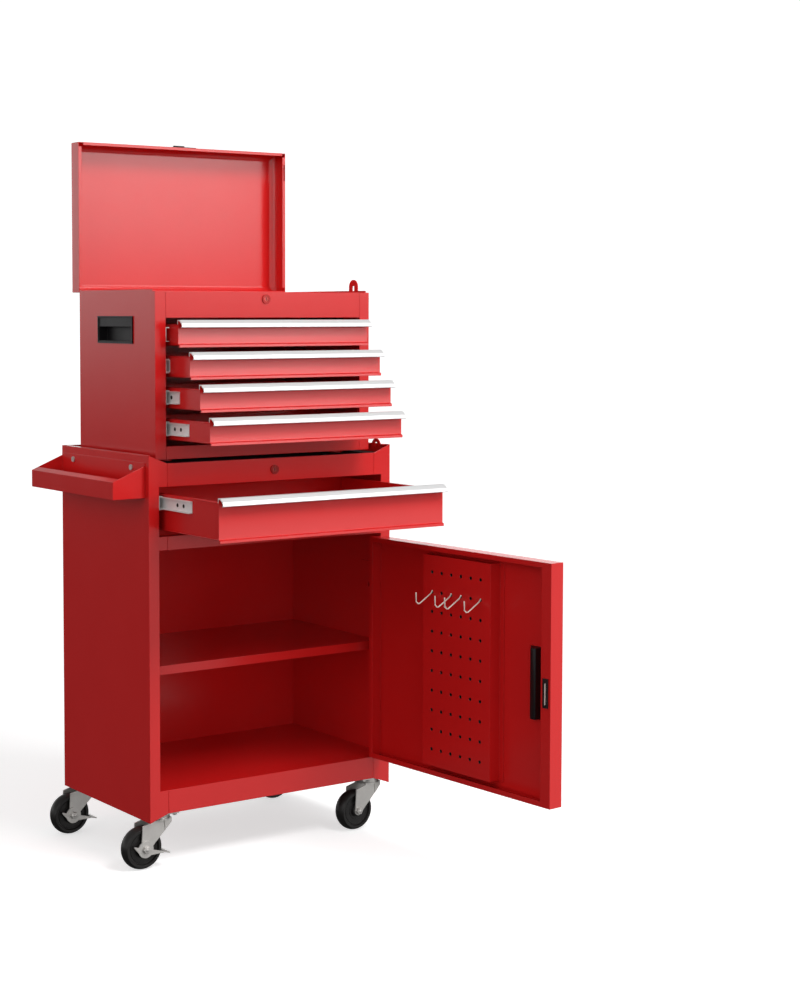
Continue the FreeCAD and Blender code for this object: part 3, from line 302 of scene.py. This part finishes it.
# Sizes of the solids that the fittings sit on, in mm
FRONT_SKIN = -163.0
CHEST_SKIN = -135.6
COLUMN_PITCH, ROW_PITCH, BOARD_MIDDLE = 25.4, 35.8, 349.25
SWIVEL_X, SWIVEL_Y, TRAIL, WHEEL_HIGH = 229.0, 137.0, 35.0, 38.0
RACE_RADIUS, PLATE_LOW, FORK_OUTSIDE, PEDAL_SHEET = 20.0, 95.5, 12.0 + 1.2 + 2.5, 2.4
WEB_DEPTH, FRONT_RIGHT_TURN = 8.0, 4.0
WIDE_OUT, NARROW_OUTS = 190.3, (33.0, 72.0, 105.3, 137.5)
SLIDE_LIP, SLIDE_HOLES = 6.4, (27.2, 47.8)

DOOR_AXIS = Vector((0.2391, -0.1629, 0.0))
DOOR_OPEN = Matrix.Rotation(math.radians(93.3), 3, "Z")


def on_door(point):
    """A point of the shut door, in mm, swung to where the open door is."""
    return DOOR_AXIS + DOOR_OPEN @ (Vector(point) * MM - DOOR_AXIS)


def rounded_outline(x, z, radius, steps=5):
    """The corners of a rectangle with round corners, as (x, z) pairs."""
    outline = []
    for cx, cz, first in ((x[1] - radius, z[1] - radius, 0), (x[0] + radius, z[1] - radius, 90),
                          (x[0] + radius, z[0] + radius, 180), (x[1] - radius, z[0] + radius, 270)):
        for i in range(steps + 1):
            turn = math.radians(first + 90.0 * i / steps)
            outline.append((cx + radius * math.cos(turn), cz + radius * math.sin(turn)))
    return outline


def rivet_profile(radius):
    """(radius, height) pairs of a hollow rivet's head, from the seat outwards."""
    return [(radius, 0.0), (radius, radius * 0.18), (radius * 0.86, radius * 0.38), (radius * 0.55, radius * 0.5),
            (radius * 0.5, radius * 0.36), (radius * 0.3, radius * 0.32), (0.0, radius * 0.3)]


def rivets(name, places, axis, radius, finish, body):
    work = bmesh.new()
    for place in places:
        turn_form(work, rivet_profile(radius), place, axis, 16)
    return finish_piece(name, work, finish, body)


def hex_form(work, place, axis, across, height, washer=0.0):
    """A chamfered hexagon with a washer face under it and a bolt end in it."""
    corner = across / math.sqrt(3.0)
    if washer:
        turn_form(work, [(0.0, 0.0), (washer, 0.0), (washer, 0.0008), (0.0, 0.0008)], place, axis, 24)
    foot = 0.0008 if washer else 0.0
    turn_form(work, [(0.0, foot), (corner, foot), (corner, foot + height * 0.8), (corner * 0.86, foot + height),
                     (corner * 0.5, foot + height), (corner * 0.5, foot + height + 0.0006),
                     (corner * 0.4, foot + height + 0.001), (0.0, foot + height + 0.001)], place, axis, 6)


def ribbed_liner():
    """The deck mat, with fine ribs that run from front to back."""
    low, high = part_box("deck_mat")
    pitch, groove = 2.6 * MM, 0.5 * MM
    count = int((high[0] - low[0]) / pitch)
    margin = (high[0] - low[0] - count * pitch) / 2
    outline = [(low[0], low[2]), (low[0], high[2] - groove)]
    for i in range(count):
        x = low[0] + margin + i * pitch
        outline += [(x + pitch * 0.15, high[2] - groove), (x + pitch * 0.3, high[2]), (x + pitch * 0.7, high[2]),
                    (x + pitch * 0.85, high[2] - groove)]
    outline += [(high[0], high[2] - groove), (high[0], low[2])]
    work = bmesh.new()
    top = outline[1:-1]
    near = [work.verts.new((x, low[1], z)) for x, z in outline]
    far = [work.verts.new((x, high[1], z)) for x, z in outline]
    for i in range(len(outline)):
        j = (i + 1) % len(outline)
        work.faces.new((near[i], near[j], far[j], far[i]))
    for row in (near, far):
        foot = [work.verts.new((v.co.x, v.co.y, low[2])) for v in row[1:-1]]
        foot[0], foot[-1] = row[0], row[-1]
        for i in range(len(top) - 1):
            corners = [row[i + 1], row[i + 2], foot[i + 1], foot[i]]
            work.faces.new(corners)
    bmesh.ops.remove_doubles(work, verts=work.verts, dist=1e-7)
    loose = [v for v in work.verts if not v.link_faces]
    bmesh.ops.delete(work, geom=loose, context="VERTS")
    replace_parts(finish_piece("deck_mat_ribbed", work, "mat", "cabinet", 20.0), "deck_mat")


def round_run(points, bends, steps=8):
    """Points along straight runs joined by arcs."""
    path = [Vector(points[0])]
    for i in range(1, len(points) - 1):
        corner = Vector(points[i])
        back = (Vector(points[i - 1]) - corner).normalized()
        ahead = (Vector(points[i + 1]) - corner).normalized()
        half = back.angle(ahead) / 2
        reach = bends[i - 1] / math.tan(half)
        centre = corner + (back + ahead).normalized() * bends[i - 1] / math.sin(half)
        first, last = corner + back * reach - centre, corner + ahead * reach - centre
        for k in range(steps + 1):
            share = k / steps
            path.append(centre + first.slerp(last, share) if first.angle(last) > 1e-4 else centre + first)
    path.append(Vector(points[-1]))
    return path


def wire_hooks():
    """Four bright wire hooks in the second row of the board."""
    skin = FRONT_SKIN
    row_z = BOARD_MIDDLE + ROW_PITCH * 3.5
    for column in (0, 2, 3, 5):
        x = COLUMN_PITCH * (2.5 - column)
        run = [(x, skin + 23.3, row_z + 11), (x, skin + 23.3, row_z), (x, skin + 32, row_z),
               (x, skin + 48, row_z - 30.5), (x, skin + 70.5, row_z - 30.5), (x, skin + 72.5, row_z - 12),
               (x, skin + 64.5, row_z + 2)]
        line = bpy.data.curves.new("wire_hook_%d" % column, "CURVE")
        line.dimensions = "3D"
        line.bevel_depth = 1.2 * MM
        line.bevel_resolution = 4
        line.use_fill_caps = True
        path = round_run(run, (2.6, 4, 13, 13, 9))
        spline = line.splines.new("POLY")
        spline.points.add(len(path) - 1)
        for point, spot in zip(spline.points, path):
            point.co = (*on_door(spot), 1.0)
        line.materials.append(finishes["wire"])
        piece = bpy.data.objects.new(line.name, line)
        bpy.context.scene.collection.objects.link(piece)
        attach(piece, "door")
        if column == 0:
            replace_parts(piece, "door_hooks")


def board_hole_shade_tubes():
    """Behind each punched hole of the board, a short near-black tube: painted shade that makes the holes read dark."""
    work = bmesh.new()
    way = DOOR_OPEN @ Vector((0, -1, 0))
    for column in range(6):
        for line in range(10):
            place = on_door((COLUMN_PITCH * (2.5 - column), -138.15,
                             BOARD_MIDDLE + ROW_PITCH * (4.5 - line)))
            turn_form(work, [(2.7 * MM, -0.9 * MM), (3.15 * MM, -0.9 * MM), (3.15 * MM, 3.6 * MM), (2.7 * MM, 3.6 * MM),
                             (2.7 * MM, -0.9 * MM)], place, way, 16)
    # near-black finish: painted shade inside the board's holes
    finish_piece("board_hole_painted_shade_tubes", work, "dark_steel_and_painted_shade", "door")


def catch_face():
    """The bright pole plate in the middle of the magnet catch."""
    work = bmesh.new()
    extrude_form(work, rounded_outline((-230.0, -227.6), (317.5, 354.5), 0.8), -135.0, -130.85, on_door)
    finish_piece("catch_pole_plate", work, "wire", "door")


def loft_form(work, rings, turn=None):
    """Skin closed rings of points, one after another, and close the first and the last."""
    turn = turn or (lambda point: point)
    rows = [[work.verts.new(turn(Vector(point))) for point in ring] for ring in rings]
    for low, high in zip(rows, rows[1:]):
        for i in range(len(low)):
            j = (i + 1) % len(low)
            work.faces.new((low[i], low[j], high[j], high[i]))
    work.faces.new(rows[0])
    work.faces.new(rows[-1])


def door_pull_moulding():
    """A hooded finger cup: its wall on the hinge side slopes under the hood."""
    left, right, low, high, skin = -189.0, -163.0, 282.0, 407.0, FRONT_SKIN
    levels = [((1.5, 11.5), 1.5, 13.2, 3.0), ((1.5, 9.5), 1.5, 0.6, 3.0), ((1.2, 9.2), 1.2, -0.8, 3.0),
              ((0.0, 0.0), 0.0, -0.8, 2.5), ((0.0, 0.0), 0.0, -2.0, 2.5), ((-0.5, -0.5), -0.5, -2.4, 3.0),
              ((-2.5, -2.5), -2.5, -2.4, 4.0), ((-3.0, -3.0), -3.0, -2.0, 4.0), ((-3.0, -3.0), -3.0, -0.05, 4.0),
              ((0.2, 0.2), 0.2, -0.05, 2.5), ((0.4, 12.6), 1.0, 14.2, 2.5), ((1.4, 13.4), 2.0, 15.0, 2.5)]
    rings = []
    for (from_left, from_right), from_ends, depth, corner in levels:
        outline = rounded_outline((left + from_left, right - from_right), (low + from_ends, high - from_ends), corner)
        rings.append([(x, skin + depth, z) for x, z in outline])
    work = bmesh.new()
    loft_form(work, rings, on_door)
    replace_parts(finish_piece("door_pull_moulding", work, "black_plastic", "door"), "door_pull")


def drawer_hems():
    """The rolled edge along the foot and the head of each drawer's sides."""
    rows = [("wide_drawer", 229.0), ("drawer_1", 198.0), ("drawer_2", 198.0), ("drawer_3", 198.0),
            ("drawer_4", 198.0)]
    for body, half in rows:
        low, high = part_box(body + "_box")
        foot, head = low[2] / MM + 3.0, high[2] / MM - 6.0
        front, back = low[1] / MM + 6.0, high[1] / MM - 1.0
        work = bmesh.new()
        for side in (-1, 1):
            for level in (foot + 1.6, head - 1.2):
                outline = [(side * (half + 0.9 * math.cos(a) - 0.1), level + 1.1 * math.sin(a))
                           for a in [math.radians(t) for t in range(-90, 91, 20)]]
                extrude_form(work, [(x * MM, z * MM) for x, z in outline], front * MM, back * MM)
        finish_piece(body + "_hems", work, "red_paint", body)


def caster_fittings():
    """Plate bolts, raceway rings, axle nuts with the folds of the fork's legs, and the beads of each wheel."""
    for corner, sx, sy in (("front_left", -1, -1), ("front_right", 1, -1), ("back_left", -1, 1), ("back_right", 1, 1)):
        x, y = SWIVEL_X * sx, SWIVEL_Y * sy
        work = bmesh.new()
        for ox in (-23, 23):
            for oy in (-18, 18):
                hex_form(work, Vector((x + ox, y + oy, PLATE_LOW)) * MM, (0, 0, -1), 8 * MM, 2.6 * MM, 5.2 * MM)
        finish_piece("caster_bolts_" + corner, work, "zinc", "cabinet")
        work = bmesh.new()
        for level, minor in ((95.0, 0.5), (91.7, 0.7), (88.6, 0.45)):
            ring = [(RACE_RADIUS + minor * math.cos(a), minor * math.sin(a)) for a in
                    [math.radians(t) for t in range(-90, 91, 30)]]
            turn_form(work, [(r * MM, h * MM) for r, h in ring], Vector((x, y, level)) * MM, (0, 0, 1), 40)
        finish_piece("caster_race_" + corner, work, "zinc", "cabinet")
        turn = math.radians(FRONT_RIGHT_TURN if corner == "front_right" else 0.0)
        axle = Vector((-math.sin(turn), math.cos(turn), 0.0))
        middle = Vector((x - TRAIL * math.cos(turn), y - TRAIL * math.sin(turn), WHEEL_HIGH))
        head = FORK_OUTSIDE + (PEDAL_SHEET if sx < 0 else 0.0)
        work = bmesh.new()
        for side in (-1, 1):
            hex_form(work, (middle + axle * side * head) * MM, axle * side, 12 * MM, 4.2 * MM, 7.2 * MM)
        across = Vector((math.cos(turn), math.sin(turn), 0.0))
        for side in (-1, 1):
            rows = []
            for out in (15.6, None):
                rows.append([work.verts.new((Vector((x, y, 0.0)) + across * u + Vector((0, 0, h))
                                             + axle * side * (out or 15.7 + swell)) * MM)
                             for u, h, swell in ((3.0, 87.6, 1.2), (4.0, 66.5, 1.2), (17.9, 79.9, 0.05),
                                                 (17.9, 87.6, 0.05))])
            work.faces.new(rows[0])
            work.faces.new(rows[1])
            for i in range(4):
                j = (i + 1) % 4
                work.faces.new((rows[0][i], rows[0][j], rows[1][j], rows[1][i]))
        finish_piece("axle_nuts_" + corner, work, "zinc", "swivel_" + corner)
        work = bmesh.new()
        for side in (-1, 1):
            seat = (middle + axle * side * WEB_DEPTH) * MM
            for radius, minor in ((25.5, 0.8), (16.0, 0.8)):
                ring = [((radius + minor * math.cos(a)) * MM, minor * math.sin(a) * MM) for a in
                        [math.radians(t) for t in range(180, -1, -30)]]
                turn_form(work, ring, seat, axle * side, 48)
            turn_form(work, [(10.6 * MM, 4.7 * MM), (10.4 * MM, 4.9 * MM), (6.0 * MM, 4.9 * MM), (5.8 * MM, 4.7 * MM)],
                      seat, axle * side, 40)
        finish_piece("wheel_beads_" + corner, work, "wheel_black", "wheel_" + corner)


def slide_hole_painted_shade():
    """Near-black discs in the two punched holes near the front of each slide member: painted shade of the channel seen
    through the holes.
    """
    rows = [("wide_drawer", FRONT_SKIN - WIDE_OUT + 99.0, 645.7)]
    for i, out in enumerate(NARROW_OUTS):
        rows.append(("drawer_%d" % (i + 1), CHEST_SKIN - out + 76.0, 963.4 - 55.1 * i - 25.5))
    for body, start, level in rows:
        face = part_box(body + "_slides")[1][0] / MM - SLIDE_LIP
        work = bmesh.new()
        for side in (-1, 1):
            for back in SLIDE_HOLES:
                seat = Vector((side * (face - 1.15), start + back, level)) * MM
                turn_form(work, [(0.0, 0.0), (2.75 * MM, 0.0), (2.75 * MM, 1.15 * MM), (3.5 * MM, 1.2 * MM),
                                 (3.3 * MM, 1.35 * MM), (2.6 * MM, 1.3 * MM), (2.2 * MM, 0.3 * MM), (0.0, 0.2 * MM)],
                          seat, (side, 0, 0), 20)
        # near-black finish: painted shade in the slide holes
        finish_piece(body + "_slide_holes", work, "dark_steel_and_painted_shade", body)


def wall_pad_slot_shade_plate():
    """A near-black plate in the slot of the pad on the right wall: painted shade, so the slot reads dark."""
    work = bmesh.new()
    extrude_form(work, [(y * MM, z * MM) for y, z in rounded_outline((-113.0, -101.0), (453.0, 462.0), 1.5)],
                 0.2592, 0.2598, lambda point: Vector((point.y, point.x, point.z)))
    # near-black finish: painted shade of the slot
    finish_piece("wall_pad_slot_painted_shade", work, "dark_steel_and_painted_shade", "cabinet")


def back_rivets():
    """Rivets down the edges of both back panels, and two on the lid's catch."""
    for side, word in ((-1, "left"), (1, "right")):
        rivets("cabinet_back_rivets_" + word, [(side * 0.2548, 0.163, 0.125 + 0.095 * i) for i in range(7)],
               (0, 1, 0), 2.6 * MM, "red_paint", "cabinet")
        rivets("chest_back_rivets_" + word, [(side * 0.2225, 0.1454, 0.745 + 0.06 * i) for i in range(5)],
               (0, 1, 0), 2.2 * MM, "red_paint", "chest")
    low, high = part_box("lid_catch")
    rivets("lid_catch_rivets", [(x, (low[1] + high[1]) / 2 + 2.2 * MM, high[2] - 2 * MM) for x in (0.008, 0.020)],
           (0, 0, 1), 1.6 * MM, "zinc", "lid")


ribbed_liner()
wire_hooks()
board_hole_shade_tubes()
catch_face()
door_pull_moulding()
drawer_hems()
caster_fittings()
slide_hole_painted_shade()
wall_pad_slot_shade_plate()
back_rivets()


def stage_set():
    """White paper that only catches shadows: the object neither mirrors it nor takes light from it."""
    mesh = bpy.data.meshes.new("studio_floor")
    work = bmesh.new()
    profile = [(-60.0, 0.0), (2.2, 0.0)]
    for i in range(1, 13):
        turn = math.radians(90.0 * i / 12)
        profile.append((2.2 + 2.5 * math.sin(turn), 2.5 - 2.5 * math.cos(turn)))
    profile.append((4.7, 9.0))
    rows = []
    for y, z in profile:
        rows.append([work.verts.new((x, y, z)) for x in (-60.0, 60.0)])
    for low, high in zip(rows, rows[1:]):
        work.faces.new((low[0], low[1], high[1], high[0])).smooth = True
    work.to_mesh(mesh)
    work.free()
    floor = bpy.data.objects.new("studio_floor", mesh)
    bpy.context.scene.collection.objects.link(floor)
    turn = Matrix.Rotation(math.radians(-34.2), 4, "Z")
    floor.matrix_world = turn
    floor.visible_diffuse = False
    floor.visible_glossy = False
    paper = Finish("studio_paper", Roughness=0.9, Emission_Color=(1, 1, 1, 1), Emission_Strength=0.60)
    paper.feed("Base Color", paper.mix(paper.noise(2.0), (0.78, 0.78, 0.78, 1), (0.75, 0.75, 0.75, 1)))
    mesh.materials.append(paper.material)


def area_light(name, place, aim, size, power):
    lamp = bpy.data.lights.new(name, "AREA")
    lamp.shape = "RECTANGLE"
    lamp.size, lamp.size_y = size
    lamp.energy = power
    item = bpy.data.objects.new(name, lamp)
    bpy.context.scene.collection.objects.link(item)
    way = Vector(aim) - Vector(place)
    item.matrix_world = Matrix.Translation(place) @ way.to_track_quat("-Z", "Y").to_matrix().to_4x4()


def light_set():
    """A high soft key from the front right, in a room that is bright round the horizon and dark below it."""
    world = bpy.data.worlds.new("studio_air")
    bpy.context.scene.world = world
    world.use_nodes = True
    tree = world.node_tree
    way = tree.nodes.new("ShaderNodeTexCoord")
    parts = tree.nodes.new("ShaderNodeSeparateXYZ")
    tree.links.new(way.outputs["Generated"], parts.inputs[0])
    share = tree.nodes.new("ShaderNodeMapRange")
    tree.links.new(parts.outputs["Z"], share.inputs["Value"])
    share.inputs["From Min"].default_value = -0.5
    share.inputs["From Max"].default_value = 0.5
    ramp = tree.nodes.new("ShaderNodeValToRGB")
    tree.links.new(share.outputs["Result"], ramp.inputs[0])
    levels = [(0.0, 0.04), (0.42, 0.04), (0.46, 0.12), (0.485, 0.50), (0.52, 0.97), (0.55, 1.0), (0.67, 0.65),
              (0.84, 0.2), (1.0, 0.2)]
    stops = ramp.color_ramp.elements
    while len(stops) < len(levels):
        stops.new(0.5)
    for stop, (place, level) in zip(stops, levels):
        stop.position = place
        stop.color = (level, level, level, 1)
    air = tree.nodes["Background"]
    tree.links.new(ramp.outputs[0], air.inputs["Color"])
    air.inputs["Strength"].default_value = 1.75
    area_light("key", (0.9, -2.9, 4.0), (0.0, -0.15, 0.7), (1.8, 1.4), 113)
    area_light("front", (1.6, -2.9, 1.80), (0.0, -0.2, 0.85), (1.2, 1.2), 18)
    area_light("left", (-3.2, -1.2, 2.2), (0.0, -0.1, 0.6), (1.6, 1.6), 13)
    area_light("floor_glow", (0.5, -1.5, 0.02), (0.0, -0.1, 0.6), (2.0, 1.0), 4)
    bpy.context.scene.view_settings.view_transform = "Standard"


def camera_set():
    """The camera that was fitted to the photo."""
    azimuth, elevation = math.radians(-34.22), math.radians(3.39)
    back = Vector((math.sin(azimuth) * math.cos(elevation), -math.cos(azimuth) * math.cos(elevation),
                   math.sin(elevation)))
    right = Vector((math.cos(azimuth), math.sin(azimuth), 0.0))
    up = back.cross(right)
    lens = bpy.data.cameras.new("photo_camera")
    lens.lens = 67.475
    lens.sensor_width = 36.0
    lens.shift_x = 0.0997
    lens.shift_y = -0.0763
    camera = bpy.data.objects.new("photo_camera", lens)
    bpy.context.scene.collection.objects.link(camera)
    turn = Matrix((right, up, back)).transposed().to_4x4()
    camera.matrix_world = Matrix.Translation((-1.8571, -2.9767, 0.976)) @ turn
    bpy.context.scene.camera = camera


stage_set()
light_set()
camera_set()
